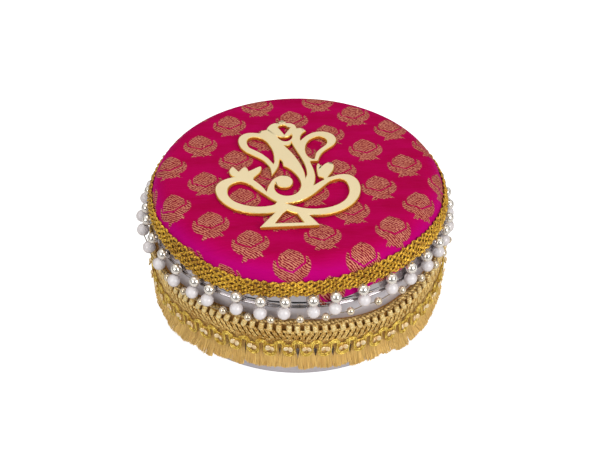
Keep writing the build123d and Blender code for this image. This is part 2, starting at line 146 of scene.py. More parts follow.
def cloth_radius_at(height):
    """The cloth's outside radius at a height on the shoulder or the side."""
    if height >= shoulder_end_height:
        rise = min(height - shoulder_centre_height, shoulder_radius)
        return flat_radius + sqrt(shoulder_radius**2 - rise**2)
    if height >= lean_end_height:
        return shoulder_end_radius + (shoulder_end_height - height) / tan(shoulder_angle)
    return cloth_radius


# Shader maths


class Wire:
    """A value in a node tree, so that maths on it reads as Python."""

    def __init__(self, tree, socket):
        self.tree = tree
        self.socket = socket

    def math(self, operation, *others):
        """A Math node on this value and the others."""
        node = self.tree.nodes.new("ShaderNodeMath")
        node.operation = operation
        for place, value in zip(node.inputs, (self, *others)):
            connect(self.tree, place, value)
        return Wire(self.tree, node.outputs[0])

    def __add__(self, other):
        return self.math("ADD", other)

    def __sub__(self, other):
        return self.math("SUBTRACT", other)

    def __mul__(self, other):
        return self.math("MULTIPLY", other)

    def __truediv__(self, other):
        return self.math("DIVIDE", other)

    def __neg__(self):
        return self.math("MULTIPLY", -1)

    def __rsub__(self, other):
        node = self.tree.nodes.new("ShaderNodeMath")
        node.operation = "SUBTRACT"
        connect(self.tree, node.inputs[0], other)
        connect(self.tree, node.inputs[1], self)
        return Wire(self.tree, node.outputs[0])

    __radd__ = __add__
    __rmul__ = __mul__

    def sine(self):
        """Its sine, of an angle in radians."""
        return self.math("SINE")

    def size(self):
        """Its value without the sign."""
        return self.math("ABSOLUTE")

    def floor(self):
        """The whole number at or below it."""
        return self.math("FLOOR")

    def root(self):
        """Its square root."""
        return self.math("SQRT")

    def least(self, other):
        """The smaller of it and another."""
        return self.math("MINIMUM", other)

    def most(self, other):
        """The larger of it and another."""
        return self.math("MAXIMUM", other)

    def clamped(self):
        """Held between 0 and 1."""
        return self.least(1).most(0)

    def wave(self, length=full_turn):
        """A wave between 0 and 1, which repeats after a length."""
        turns = self if length == full_turn else self * (full_turn / length)
        return turns.sine() * 0.5 + 0.5

    def ramp(self, low, high):
        """0 below low, 1 above high, and straight between."""
        return ((self - low) / (high - low)).clamped()


def connect(tree, place, value):
    """Links or sets one input socket. A colour may be given without its alpha."""
    if isinstance(value, Wire):
        tree.links.new(value.socket, place)
    elif isinstance(value, (tuple, list)) and len(value) == 3 and len(place.default_value) == 4:
        place.default_value = (*value, 1)
    else:
        place.default_value = value


class Finish:
    """A node tree under construction, with one method that adds any node to it."""

    def __init__(self, owner):
        owner.use_nodes = True
        self.owner = owner
        self.tree = owner.node_tree
        self.tree.nodes.clear()

    def node(self, kind, settings=None, inputs=None, output=0):
        """Adds a node of any type, with its settings and its inputs, and returns one of its outputs."""
        node = self.tree.nodes.new("ShaderNode" + kind)
        for name, value in (settings or {}).items():
            setattr(node, name, value)
        for name, value in (inputs or {}).items():
            connect(self.tree, node.inputs[name], value)
        return Wire(self.tree, node.outputs[output]) if node.outputs else None

    def place(self, kind="Object"):
        """The place on the object, in metres."""
        return self.node("TexCoord", output=kind)

    def parts(self, vector):
        """The three parts of a vector."""
        split = self.tree.nodes.new("ShaderNodeSeparateXYZ")
        connect(self.tree, split.inputs[0], vector)
        return [Wire(self.tree, socket) for socket in split.outputs]

    def vector(self, x, y, z):
        """A vector of three parts."""
        return self.node("CombineXYZ", inputs={"X": x, "Y": y, "Z": z})

    def turn_and_height(self):
        """The angle round the Z axis, in radians, and the height."""
        x, y, z = self.parts(self.place())
        return self.node("Math", {"operation": "ARCTAN2"}, {0: y, 1: x}), z

    def noise(self, vector, scale, detail=2):
        """Cloudy noise, mostly between 0.3 and 0.7."""
        return self.node("TexNoise", inputs={"Vector": vector, "Scale": scale, "Detail": detail})

    def mix(self, factor, first, second):
        """Mixes two colours."""
        return self.node("Mix", {"data_type": "RGBA"}, {0: factor, 6: first, 7: second}, output=2)

    def bump(self, height, strength, distance):
        """A normal from a height."""
        return self.node("Bump", inputs={"Height": height, "Strength": strength, "Distance": distance})

    def surface(self, colour, rough, normal=None, metal=0.0, others=None):
        """Ends the material in one shader, with any other inputs it has, and returns the material."""
        inputs = {"Base Color": colour, "Roughness": rough, "Metallic": metal}
        if normal:
            inputs["Normal"] = normal
        shader = self.node("BsdfPrincipled", inputs=inputs | (others or {}))
        self.node("OutputMaterial", inputs={"Surface": shader})
        return self.owner


def new_finish(name):
    """A new material, still empty."""
    return Finish(bpy.data.materials.new(name))


# Materials

# Turns of the foil along a thread, in radians per unit of its strand map
foil_twist = 1900


def polished_steel(name, dark, light, haze, metal):
    """Drawn and polished sheet steel, with faint turning lines round it and a slightly uneven face."""
    finish = new_finish(name)
    around, z = finish.turn_and_height()
    lines = finish.noise(finish.vector(around * 2, 0, z / mm), 9, 3)
    smears = finish.noise(finish.place(), 38, 3)
    dents = finish.noise(finish.place(), 26, 2)
    colour = finish.mix(smears, dark, light)
    rough = smears * 0.10 + lines * 0.06 + haze
    normal = finish.bump(lines * 0.1 + dents, 0.16, 0.4 * mm)
    return finish.surface(colour, rough, normal, metal)


def bud_lattice(finish, u, v):
    """Where the cloth shows a bud: 1 inside and 0 outside, for a place on the flat cloth in mm."""
    across = 33.2
    along = 32.0
    turned = radians(8.69)
    first_u = 3.52
    first_v = 58.5
    from_first_u = u * cos(turned) + v * sin(turned) - first_u
    from_first_v = v * cos(turned) - u * sin(turned) - first_v
    masks = []
    for shift_u, shift_v in ((across / 2, 0), (0, along / 2)):
        x = from_first_u + shift_u
        y = from_first_v + shift_v
        x = x - (x / across + 0.5).floor() * across
        y = y - (y / along + 0.5).floor() * along
        masks.append(bud(finish, x, y))
    return masks[0].most(masks[1])


def inside(x, y, centre_x, centre_y, radius_x, radius_y):
    """How deep a place lies inside an ellipse, in mm near its edge, and negative outside."""
    across = (x - centre_x) / radius_x
    along = (y - centre_y) / radius_y
    return (1 - (across * across + along * along).root()) * min(radius_x, radius_y)


def bud(finish, x, y):
    """One woven bud: a pointed dome over two wings, with a ragged foot below."""
    edge = 0.16
    wobble = finish.noise(finish.vector(x, y, 0), 0.9, 2) - 0.5
    side = x.size()
    peak = (1 - side / 2.6).clamped() * 1.1
    dome = inside(x, y - peak, 0.0, 3.4, 5.95, 6.0)
    vee = (y + 1.55 - side * 0.6) / 1.17
    flower = dome.least(vee) + wobble * 0.4 - 0.08
    rise = y - 0.7
    cup = inside(x, rise.least(rise * 0.8), 0.0, 0.0, 8.65, 6.9) + wobble * 0.6
    tips = (5.0 - (7.5 - side) * 0.5 - y) * 0.9
    wings = cup.least(-(flower + 0.92)).least(tips)
    ragged = (x * 3.4).sine() * 0.35 + (x * 1.3 + 0.6).sine() * 0.3 + wobble * 1.4
    foot = (4.0 + (-5.6 - y) * 0.55 - side).least(y + 8.1 + ragged).least(-4.5 - y)
    return flower.ramp(-edge, edge).most(wings.ramp(-edge, edge)).most(foot.ramp(-edge, edge))


def brocade():
    """Silk in crimson and magenta, with buds woven in copper-gold thread. The magenta where the cloth leans
    away from up is painted sheen, and the darker crimson bands are partly painted soft shade.
    """
    twill_pitch = 1.28
    thread_pitch = 0.42
    finish = new_finish("magenta_brocade")
    u, v, _ = finish.parts(finish.node("UVMap", {"uv_map": "cloth"}))
    u = u * (1 / mm)
    v = v * (1 / mm)
    mask = bud_lattice(finish, u, v)
    bend = finish.noise(finish.vector(u, v, 5), 0.22, 1) * 2.4
    twill = (u * 0.7 + v + bend).wave(twill_pitch)
    broken = finish.noise(finish.vector(u, v, 0), 0.95, 3)
    fleck = finish.noise(finish.vector(u + v, (u - v) * 0.3, 2), 2.6, 2)
    area = finish.noise(finish.vector(u, v, 0), 0.16, 1)
    thread = (twill * 0.85 + (broken - 0.5) * 2.6 + (fleck - 0.5) * 1.4 + 0.02).ramp(0.26, 0.72)
    weave = u.wave(thread_pitch) * 0.5 + v.wave(thread_pitch) * 0.5
    slub = finish.noise(finish.vector(u * 0.12, v * 1.3, 0), 1.0, 3)
    # Darker and lighter crimson in broad random bands: partly the silk's own tone, partly painted soft
    # shade.
    tone_and_soft_shade_bands = finish.noise(finish.vector(u * 0.03, v * 0.12, 4), 1.0, 2)
    _, _, lean = finish.parts(finish.node("NewGeometry", output="Normal"))
    # The silk turns magenta where the cloth leans away from up: painted sheen.
    painted_sheen = (1 - lean.ramp(0.5, 0.985)).clamped()
    streaks = finish.noise(finish.vector(u * 0.06, v * 2.4, 9), 1.0, 2).ramp(0.60, 0.72) * 0.4
    crimson = finish.mix(tone_and_soft_shade_bands.ramp(0.35, 0.65), (0.37, 0.0004, 0.046), (0.43, 0.0006, 0.072))
    silk = finish.mix(painted_sheen, crimson, (0.455, 0.0005, 0.155))
    silk = finish.mix((slub - 0.5).size() * 1.2, silk, (0.56, 0.004, 0.14))
    silk = finish.mix(streaks, silk, (0.24, 0.0004, 0.03))
    ground = finish.mix(thread, (0.20, 0.001, 0.022), (0.62, 0.205, 0.125))
    gold = finish.mix(area.ramp(0.4, 0.62) * thread * 0.4, ground, (0.68, 0.29, 0.20))
    colour = finish.mix(mask, silk, gold)
    rough = 0.5 - mask * 0.06 + fleck * 0.12
    height = weave * 0.2 + slub * 0.5 + mask * (0.6 + thread * 0.8)
    normal = finish.bump(height, 0.35, 0.12 * mm)
    return finish.surface(colour, rough, normal, mask * thread * 0.2, {"Specular IOR Level": 0.01})


def gold_thread(name, deep, bright, metal, rough, twist=foil_twist):
    """Metallic thread wound from fine foil, with a twist that follows each strand's own length, and painted
    highlights along the twist.
    """
    finish = new_finish(name)
    along, around, _ = finish.parts(finish.node("UVMap", {"uv_map": "strand"}))
    lay = (along * twist + around * full_turn).wave()
    patch = finish.noise(finish.place(), 1100, 3)
    drift = finish.noise(finish.place(), 75, 2)
    # From the deep tone to the bright one: random patches are the thread's own uneven tone, and the bright
    # stripes along the twist are painted highlights.
    tone_and_painted_glint = ((patch - 0.5) * 2.4 + lay * 0.5 + (drift - 0.5) * 0.9 + 0.22).clamped()
    colour = finish.mix(tone_and_painted_glint, deep, bright)
    normal = finish.bump(lay * 0.8 + patch * 0.5, 0.6, 0.14 * mm)
    return finish.surface(colour, rough + patch * 0.2, normal, metal)


def silky_fringe():
    """Soft beige-gold thread that hangs in fine vertical strands."""
    finish = new_finish("silky_fringe")
    around, z = finish.turn_and_height()
    hairs = finish.noise(finish.vector(around * 340, z * 60, 0), 1.0, 3)
    lengths = finish.noise(finish.vector(around * 30, z * 90, 3), 1.0, 2)
    colour = finish.mix(hairs.ramp(0.32, 0.68), (0.54, 0.31, 0.07), (1.0, 0.72, 0.25))
    colour = finish.mix(lengths.ramp(0.45, 0.75) * 0.45, colour, (0.72, 0.42, 0.13))
    normal = finish.bump(hairs, 0.35, 0.12 * mm)
    return finish.surface(colour, 0.42 + hairs * 0.15, normal, 0.2)


def bright_ball(name, dull, bright):
    """Metallised ball, bright all over, with fine rubs and a warm cast."""
    finish = new_finish(name)
    rubs = finish.noise(finish.place(), 900, 3)
    cast = finish.noise(finish.place(), 120, 2)
    colour = finish.mix(cast, dull, bright)
    normal = finish.bump(rubs, 0.08, 0.05 * mm)
    return finish.surface(colour, rubs * 0.09 + 0.05, normal, 0.72)


def pearl():
    """Pearl lustre: a soft white body under a clear skin, pinker and darker where it turns away, which is
    painted sheen and painted shade.
    """
    finish = new_finish("pearl")
    # Towards the rim, as seen from the camera, the colour turns pinker and darker: painted sheen and
    # painted shade.
    rim_sheen_and_shade = finish.node("LayerWeight", inputs={"Blend": 0.35}, output="Facing")
    cloud = finish.noise(finish.place(), 260, 2)
    colour = finish.mix(rim_sheen_and_shade, (0.72, 0.68, 0.68), (0.56, 0.45, 0.41))
    colour = finish.mix(cloud * 0.35, colour, (0.78, 0.75, 0.78))
    skin = {"Coat Weight": 0.45, "Coat Roughness": 0.1}
    body = {"Subsurface Weight": 0.1, "Subsurface Scale": 1 * mm, "Subsurface Radius": (1.0, 0.9, 0.8)}
    return finish.surface(colour, 0.24 + cloud * 0.08, others=skin | body)


def mirror_gold():
    """Mirror acrylic: a pale gold face, and cut edges of deep orange gold, with a painted highlight of
    brighter orange on the bevel that leans up.
    """
    finish = new_finish("mirror_gold")
    _, _, up = finish.parts(finish.node("NewGeometry", output="True Normal"))
    face = up.ramp(0.78, 0.95)
    rim = up.ramp(0.3, 0.6)
    haze = finish.noise(finish.place(), 45, 3)
    pale = finish.mix(haze, (0.84, 0.68, 0.39), (0.92, 0.77, 0.47))
    wall = finish.mix(haze, (0.62, 0.26, 0.02), (0.86, 0.44, 0.05))
    # The brighter orange on faces that lean up, which is the top bevel, is a painted highlight.
    polished = finish.mix(haze, (1.0, 0.56, 0.10), (1.0, 0.68, 0.18))
    colour = finish.mix(face, finish.mix(rim, wall, polished), pale)
    rough = 0.28 + face * 0.08 + haze * 0.06
    normal = finish.bump(haze, 0.08, 0.3 * mm)
    return finish.surface(colour, rough, normal, 0.7 - face * 0.2)


def sequin_foil():
    """Small peach-gold sequins, glossy and a little uneven."""
    finish = new_finish("sequin_foil")
    cast = finish.noise(finish.place(), 300, 2)
    colour = finish.mix(cast.ramp(0.35, 0.65), (0.94, 0.64, 0.30), (1.0, 0.84, 0.54))
    normal = finish.bump(cast, 0.2, 0.1 * mm)
    return finish.surface(colour, cast * 0.2 + 0.2, normal, 0.6)


def dull_fibres(name, scale, dark, light, rough, relief, depth):
    """Dull fibres, such as plain thread or felt."""
    finish = new_finish(name)
    fibres = finish.noise(finish.place(), scale, 2)
    colour = finish.mix(fibres, dark, light)
    return finish.surface(colour, rough, finish.bump(fibres, relief, depth))


def backing_tape():
    """Dull woven tape behind the trim."""
    finish = new_finish("backing_tape")
    around, z = finish.turn_and_height()
    weave = (around * 900).sine() * (z / mm * 8).sine()
    tone = finish.noise(finish.place(), 150, 2)
    colour = finish.mix(weave * 0.25 + tone * 0.5 + 0.1, (0.24, 0.095, 0.010), (0.66, 0.33, 0.06))
    return finish.surface(colour, 0.6, finish.bump(weave, 0.5, 0.1 * mm))


def foam():
    """Open white foam under the cloth."""
    finish = new_finish("pad_foam")
    cells = finish.node("TexVoronoi", inputs={"Vector": finish.place(), "Scale": 900})
    colour = finish.mix(cells, (0.82, 0.79, 0.70), (0.66, 0.63, 0.55))
    return finish.surface(colour, 0.9, finish.bump(cells, 0.5, 0.3 * mm))


# Meshes


def mesh_of(name, shape):
    """A mesh from a bmesh, which is freed."""
    mesh = bpy.data.meshes.new(name)
    shape.to_mesh(mesh)
    shape.free()
    return mesh


def finished(name, shape, material, body, node=None, smooth=True):
    """Puts a bmesh or a mesh into the scene as a piece of a body, in place of the CAD node named."""
    mesh = shape if isinstance(shape, bpy.types.Mesh) else mesh_of(name, shape)
    piece = bpy.data.objects.new(name, mesh)
    bpy.context.scene.collection.objects.link(piece)
    mesh.materials.append(material)
    for face in mesh.polygons:
        face.use_smooth = smooth
    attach(piece, body)
    if node:
        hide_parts(node)
    return piece


def thickened(piece, thickness):
    """Gives a sheet its thickness, inwards."""
    wall = piece.modifiers.new("thickness", "SOLIDIFY")
    wall.thickness = thickness
    wall.offset = -1


def arc_points(centre, radius, start, end, steps):
    """Points of an arc in a section, from one angle to another, in radians."""
    turns = [start + (end - start) * step / steps for step in range(steps + 1)]
    return [(centre[0] + radius * cos(turn), centre[1] + radius * sin(turn)) for turn in turns]


def spin_round(shape, chain, steps, closed=False):
    """Spins a chain of points round the Z axis. A closed chain ends where it starts."""
    edges = [shape.edges.new(pair) for pair in zip(chain, chain[1:])]
    if closed:
        edges.append(shape.edges.new((chain[-1], chain[0])))
    turn = {"cent": (0, 0, 0), "axis": (0, 0, 1), "angle": full_turn}
    bmesh.ops.spin(shape, geom=chain + edges, steps=steps, use_merge=True, **turn)
    bmesh.ops.remove_doubles(shape, verts=shape.verts, dist=0.001 * mm)
    bmesh.ops.recalc_face_normals(shape, faces=shape.faces)


def spun(section, steps, closed=False):
    """A shape spun round the Z axis from a section of (radius, height) points."""
    shape = bmesh.new()
    chain = [shape.verts.new((radius, 0, height)) for radius, height in section]
    spin_round(shape, chain, steps, closed)
    return shape


def copied(name, one, places):
    """One shape copied to many places, each a turn-and-move matrix."""
    single = mesh_of(name + "_one", one)
    shape = bmesh.new()
    for place in places:
        before = len(shape.verts)
        shape.from_mesh(single)
        shape.verts.ensure_lookup_table()
        bmesh.ops.transform(shape, matrix=place, verts=shape.verts[before:])
    bpy.data.meshes.remove(single)
    return shape


def turned_to(angle, radius, height, tilt, axis="Y"):
    """The matrix that tilts a piece and stands it at a place round the box."""
    move = Matrix.Translation(on_ring(angle, radius, height))
    return move @ Matrix.Rotation(angle, 4, "Z") @ Matrix.Rotation(tilt, 4, axis)


def strands(name, routes, radius, sides=1, closed=True):
    """A mesh of round strands that follow lists of points, with a strand UV along and around them."""
    curve = bpy.data.curves.new(name, "CURVE")
    curve.dimensions = "3D"
    curve.bevel_depth = radius
    curve.bevel_resolution = sides
    curve.use_fill_caps = not closed
    for points in routes:
        spline = curve.splines.new("POLY")
        spline.points.add(len(points) - 1)
        for knot, point in zip(spline.points, points):
            knot.co = (*point, 1)
        spline.use_cyclic_u = closed
        spline.use_smooth = True
    carrier = bpy.data.objects.new(name, curve)
    bpy.context.scene.collection.objects.link(carrier)
    mesh = bpy.data.meshes.new_from_object(carrier)
    bpy.data.objects.remove(carrier)
    mesh.uv_layers[0].name = "strand"
    return mesh


def ring_route(count, steps, place):
    """Points round the ring: place(angle, phase) gives one, where the phase turns count times."""
    total = count * steps
    return [place(full_turn * index / total, full_turn * index / steps) for index in range(total)]


# The lid's cloth and pad


def cloth_section():
    """The cloth's outside, from the middle of the top to its lower edge."""
    rings = 26
    wall_steps = 10
    centre = (flat_radius, shoulder_centre_height)
    section = [(flat_radius * ring / rings, cloth_top) for ring in range(rings)]
    section += arc_points(centre, shoulder_radius, pi / 2, pi / 2 - shoulder_angle, 14)
    for step in range(wall_steps + 1):
        height = lean_end_height + (cloth_bottom - lean_end_height) * step / wall_steps
        section.append((cloth_radius, height))
    return section


# The cloth's lower edge with its hanging tongue, in degrees to the right of the front and mm up
tongue = [(7.3, 56.0), (8.0, 47.9), (10.8, 48.2), (12.2, 50.2), (17, 50.7)]
tongue += [(22, 52.0), (27, 53.3), (34, 53.8), (42, 54.6), (50, 56.0)]


def cloth_edge(angle):
    """The height of the cloth's lower edge: under the braid, but for the tongue at the front right."""
    away = from_front(angle)
    if not tongue[0][0] < away < tongue[-1][0]:
        return tongue[0][1] * mm
    for (start, low), (end, high) in zip(tongue, tongue[1:]):
        if start <= away <= end:
            share = (away - start) / (end - start)
            return (low + (high - low) * share) * mm


def make_cloth():
    """The cloth, with small puckers round the shoulder, and a map of it laid flat."""
    swell_height = 0.16 * mm
    pucker_depth = 0.30 * mm
    section = cloth_section()
    lengths = [0.0]
    for (r0, z0), (r1, z1) in zip(section, section[1:]):
        lengths.append(lengths[-1] + hypot(r1 - r0, z1 - z0))
    shape = bmesh.new()
    along = shape.verts.layers.float.new("along")
    chain = []
    for (radius, height), length in zip(section, lengths):
        point = shape.verts.new((radius, 0, height))
        point[along] = length
        chain.append(point)
    spin_round(shape, chain, 360)
    uv = shape.loops.layers.uv.new("cloth")
    for face in shape.faces:
        for loop in face.loops:
            point = loop.vert
            angle = atan2(point.co.y, point.co.x)
            loop[uv].uv = (point[along] * cos(angle), point[along] * sin(angle))
    for point in shape.verts:
        x, y, z = point.co
        radius = hypot(x, y)
        angle = atan2(y, x)
        if z < lean_end_height:
            share = (lean_end_height - z) / (lean_end_height - cloth_bottom)
            z = lean_end_height + (cloth_edge(angle) - lean_end_height) * share
        over = max(0.0, min(1.0, (radius - flat_radius) / (shoulder_end_radius - flat_radius)))
        swell = swell_height * sin(x / (17 * mm) + 1.1) * cos(y / (13 * mm) - 0.4)
        gather = sin(angle * 46 + 1.7 * sin(angle * 7)) * sin(angle * 11 + 0.5)
        pucker = pucker_depth * gather * over
        z += swell * (1 - over) - 0.05 * mm
        scale = (radius + pucker * 0.5 - 0.1 * mm * over) / radius if radius > 0 else 1
        point.co = (x * scale, y * scale, z - abs(pucker) * 0.6 * (1 - over) - pucker * 0.35)
    piece = finished("brocade_cloth", shape, brocade(), "lid", "brocade_cover")
    thickened(piece, cloth_thickness)


def make_pad():
    """The foam under the cloth, on the steel lid."""
    gap = 0.35 * mm
    floor = lid_top + 0.1 * mm
    centre = (flat_radius, shoulder_centre_height)
    inner = shoulder_radius - (cloth_thickness + gap)
    low = asin((lid_top - shoulder_centre_height) / inner)
    crown = pad_top - gap
    wall = arc_points(centre, inner, low, pi / 2, 12)
    wall = [(radius, max(height, floor)) for radius, height in wall]
    section = [(0, floor), (flat_radius, floor)]
    section += wall[:-1] + [(flat_radius, crown), (flat_radius / 2, crown), (0, crown)]
    finished("pad_foam", spun(section, 96), foam(), "lid", "foam_pad")


# The lid's braid and bead drops


def make_edge_braid(material):
    """Rows of wavy twin cords that touch and part by turns, so that dark eyes show between them."""
    rows = 7
    waves = 116
    strand = 0.36 * mm
    spread = 0.27 * mm
    swing_height = 0.36 * mm
    loop_lift = 0.4 * mm
    bulge = 0.3 * mm
    off_cloth = 0.35 * mm
    edge = strand + spread
    routes = []
    for row in range(rows):
        share = row / (rows - 1)
        for twin in (-1, 1):

            def place(angle, phase, row=row, share=share, twin=twin):
                high = braid_top - edge + humps(angle, braid_top_humps)
                low = braid_bottom + edge + humps(angle, braid_bottom_humps)
                wander = 0.6 * sin(angle * 9 + row) + 0.4 * sin(angle * 31 + 2 * row)
                swing = sin(phase + row * pi + wander) + 0.25 * sin(2 * phase + row)
                height = low + (high - low) * share + swing_height * swing + twin * spread
                height += 0.16 * mm * sin(angle * 23 + row * 2) + 0.1 * mm * sin(angle * 57 + row * 5)
                lift = loop_lift * cos(phase + row * pi + wander) + 0.16 * mm * sin(angle * 61 + row)
                crown = bulge * (1 - (2 * share - 1) ** 2)
                out = cloth_radius_at(height) + strand + off_cloth + lift + crown
                return on_ring(angle, out, height)

            routes.append(ring_route(waves, 8, place))
    mesh = strands("edge_chain_braid", routes, strand)
    finished("edge_chain_braid", mesh, material, "lid", "edge_braid")


def make_braid_painted_shade():
    """A thin dark strip behind the braid, that shows in the eyes between its loops: painted shade."""
    thickness = 0.25 * mm
    off_cloth = 0.12 * mm
    margin = 0.55 * mm
    rings = 8
    shape = spun([(cloth_radius, ring / rings) for ring in range(rings + 1)], 240)
    for point in shape.verts:
        angle = atan2(point.co.y, point.co.x)
        high = braid_top - margin + humps(angle, braid_top_humps)
        low = braid_bottom + margin + humps(angle, braid_bottom_humps)
        height = low + (high - low) * point.co.z
        point.co = on_ring(angle, cloth_radius_at(height) + thickness + off_cloth, height)
    # Near-black fibres: painted shade for the eyes of the braid.
    felt = dull_fibres("braid_painted_shade", 1800, (0.085, 0.032, 0.006), (0.26, 0.12, 0.02), 0.8, 0.5, 0.1 * mm)
    thickened(finished("braid_painted_shade", shape, felt, "lid"), thickness)


def bead_row(name, node, slot, radius, places, material):
    """A row of beads, each spun round its thread hole."""
    bore = 0.45 * mm
    lip = asin(bore / radius)
    bead = spun(arc_points((0, 0), radius, pi / 2 - lip, -pi / 2 + lip, 14), 24, closed=True)
    finished(name, copied(name, bead, places), material, "lid", node)


drop_count = 40
silver_radius = 2.7 * mm
pearl_radius = 3.1 * mm
small_radius = 1.9 * mm
drop_step = full_turn / drop_count

# How far the drops in front sit from even places, in degrees, from the left to the right
seen_drop_shifts = [1.2, 1.3, 2.0, -0.4, 1.1, 0.9, 0.4, 0.8, -0.5]
seen_drop_shifts += [0.3, 2.7, 3.1, 3.3, 4.0, 3.0, 2.0, 1.0]
first_seen_drop = -7


def drop_angle(index):
    """Where a drop hangs, as uneven as beads strung by hand. Drop 0 is the first to the right."""
    turn = (index + drop_count // 2) % drop_count - drop_count // 2
    seen = turn - first_seen_drop
    if 0 <= seen < len(seen_drop_shifts):
        shift = seen_drop_shifts[seen]
    else:
        shift = 0.75 * sin(turn * 2.4 + 0.9)
    return front + drop_step * (index + 0.5) + radians(shift)


def drop_lean(index):
    """How far a drop leans out, in radians: more on the left than on the right."""
    lean = 13.0
    side = sin(drop_angle(index) - front)
    return radians(lean - lean * side + 2.2 * sin(index * 1.7))


def silver_place(index):
    """Where a silver ball hangs: its angle, radius and height."""
    angle = drop_angle(index)
    height = silver_height + humps(angle, drop_humps) + 0.25 * mm * sin(index * 3.1)
    return angle, silver_ring_radius - silver_radius, height


def pearl_place(index):
    """Where a pearl hangs, under its ball and leaning out with it."""
    angle, radius, height = silver_place(index)
    gap = silver_radius + pearl_radius - 0.02 * mm
    lean = drop_lean(index)
    sway = radians(0.5) * sin(index * 4.3)
    return angle + sway, radius + gap * sin(lean), height - gap * cos(lean)


def small_place(index):
    """A small ball hangs between a drop and the next one, on the slack of the thread."""
    angle0, _, _ = pearl_place(index - 1)
    angle1, _, _ = pearl_place(index)
    angle = (angle0 + angle1) / 2 + radians(0.5) * sin(index * 7.7)
    height = small_height + humps(angle, drop_humps) + 0.4 * mm * sin(index * 5.1)
    return angle, silver_ring_radius - silver_radius + 1.4 * mm, height


def make_beads():
    """The drops, each a silver ball over a pearl, and the small balls between them."""
    silver = bright_ball("silver_ball", (0.84, 0.76, 0.66), (0.98, 0.93, 0.87))
    small_silver = bright_ball("small_silver_ball", (0.74, 0.58, 0.38), (0.96, 0.84, 0.66))
    drops = range(drop_count)
    silver_places = [turned_to(*silver_place(index), -drop_lean(index)) for index in drops]
    pearl_places = [turned_to(*pearl_place(index), -drop_lean(index)) for index in drops]
    small_places = [turned_to(*small_place(index), pi / 2, "X") for index in drops]
    bead_row("silver_balls", "silver_beads", "silver", silver_radius, silver_places, silver)
    bead_row("pearls", "pearl_beads", "pearl", pearl_radius, pearl_places, pearl())
    small_row = ("small_silver_balls", "small_silver_beads", "silver")
    bead_row(*small_row, small_radius, small_places, small_silver)


def make_bead_thread():
    """Thread from the braid through each ball and pearl, and slack runs on through the small balls."""
    slack = Vector((0, 0, 0.15 * mm))
    under_pearl = Vector((0, 0, pearl_radius + 0.1 * mm))
    above_ball = silver_radius + 0.9 * mm
    stems = []
    runs = []
    for index in range(drop_count):
        angle, radius, height = silver_place(index)
        top = on_ring(angle, radius - 0.6 * mm, height + above_ball)
        pearl_middle = on_ring(*pearl_place(index))
        pearl_end = pearl_middle - under_pearl
        stems.append([top, on_ring(angle, radius, height), pearl_middle, pearl_end])
        next_end = on_ring(*pearl_place(index + 1)) - under_pearl
        small = on_ring(*small_place(index + 1))
        runs.append([pearl_end, pearl_end.lerp(small, 0.5) - slack, small])
        runs.append([small, small.lerp(next_end, 0.5) - slack, next_end])
    mesh = strands("bead_strings", stems + runs, 0.25 * mm, sides=0, closed=False)
    thread = dull_fibres("bead_thread", 2500, (0.11, 0.075, 0.04), (0.34, 0.25, 0.14), 0.6, 0.4, 0.05 * mm)
    finished("bead_strings", mesh, thread, "lid", "bead_thread")


# The trim round the box

scallop_count = 56


def outward_slant(angle):
    """How far the trim's upright threads slant outwards at the sides of the front, in radians."""
    steepest = radians(20)
    steepest_at = 38
    away = from_front(angle) / steepest_at
    return -steepest * away * exp(0.5 - 0.5 * away**2)


def make_tape():
    """The backing tape, whose edges sag with the trim that it carries."""
    inner = tape_radius - 1.0 * mm
    tall = tape_top - tape_bottom
    ring = [(inner, tape_bottom), (tape_radius, tape_bottom)]
    ring += [(tape_radius, tape_bottom + tall * share) for share in (0.2, 0.4, 0.6, 0.8)]
    ring += [(tape_radius, tape_top), (inner, tape_top)]
    shape = spun(ring, 240, closed=True)
    for point in shape.verts:
        angle = atan2(point.co.y, point.co.x)
        share = (point.co.z - tape_bottom) / tall
        point.co.z += humps(angle, header_humps) * share + humps(angle, lower_trim_humps) * (1 - share)
    finished("backing_tape", shape, backing_tape(), "box", "trim_tape", smooth=False)


def make_header_cord(material):
    """Two-ply twisted cord along the trim's top edge."""
    twists = 112
    ply = 0.66 * mm
    swirl = 0.66 * mm
    centre_radius = header_radius - ply - swirl
    centre_height = header_top - ply - swirl
    routes = []
    for side in range(2):

        def place(angle, phase, side=side):
            wobble = 0.3 * sin(angle * 17)
            out = swirl * cos(phase + side * pi + wobble)
            up = swirl * sin(phase + side * pi + wobble)
            return on_ring(angle, centre_radius + out, centre_height - up + humps(angle, header_humps))

        routes.append(ring_route(twists, 10, place))
    mesh = strands("header_twist", routes, ply)
    finished("header_twist", mesh, material, "box", "header_cord")


def make_barrels(material):
    """Upright barrels wound with thread, side by side."""
    count = 112
    width = 1.32 * mm
    depth = 1.15 * mm
    half = (barrel_top - barrel_bottom) / 2
    wound = [(0.5, -1.0), (0.86, -0.9), (1.0, -0.68), (0.93, -0.5), (1.02, -0.32), (0.94, -0.14)]
    wound += [(1.02, 0.04), (0.94, 0.22), (1.02, 0.4), (0.94, 0.58), (1.0, 0.76), (0.84, 0.92), (0.5, 1.0)]
    barrel = spun([(across * width, along * half) for across, along in wound], 12)
    bmesh.ops.holes_fill(barrel, edges=barrel.edges, sides=12)
    bmesh.ops.scale(barrel, vec=(depth / width, 1, 1), verts=barrel.verts)
    middle = (barrel_top + barrel_bottom) / 2
    dice = Random(3)
    places = []
    for index in range(count):
        angle = full_turn * index / count + radians(dice.uniform(-0.25, 0.25))
        slant = outward_slant(angle) + radians(dice.uniform(-4, 4))
        out = barrel_radius - depth + dice.uniform(-0.12, 0.12) * mm
        places.append(turned_to(angle, out, middle + humps(angle, barrel_humps), -slant, "X"))
    shape = copied("barrel", barrel, places)
    uv = shape.loops.layers.uv.new("strand")
    for face in shape.faces:
        for loop in face.loops:
            point = loop.vert.co
            around = atan2(point.y, point.x) * cup_radius
            loop[uv].uv = (point.z * 5.5 / mm, around * 0.55 / mm)
    finished("wound_barrels", shape, material, "box", "barrel_row")


